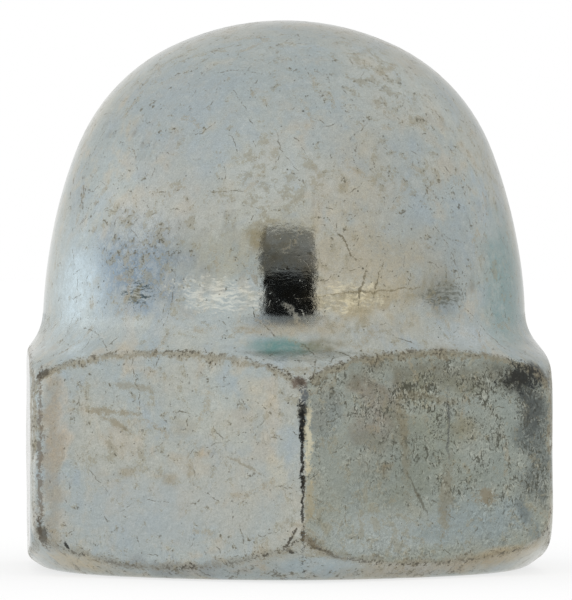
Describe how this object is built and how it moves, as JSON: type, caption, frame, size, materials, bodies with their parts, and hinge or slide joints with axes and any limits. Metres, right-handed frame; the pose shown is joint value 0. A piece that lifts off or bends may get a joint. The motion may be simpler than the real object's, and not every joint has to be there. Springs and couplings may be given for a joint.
{
  "type": "cap nut",
  "caption": "Hexagonal cap nut with a closed ogival dome over a blind threaded hole, in worn zinc-plated steel.",
  "frame": {"origin": "centre of the bearing face, on the thread's axis", "axes": "+Z along the thread's axis towards the top of the dome; one corner of the hexagon points to -Y and two flats face -X and +X"},
  "size_m": [0.0168, 0.0192, 0.018],
  "materials": {
    "zinc_plated_steel": "dull clear-zinc plating, handled and grimy"
  },
  "bodies": {
    "root": {"cap_nut": "zinc_plated_steel"}
  },
  "joints": []
}
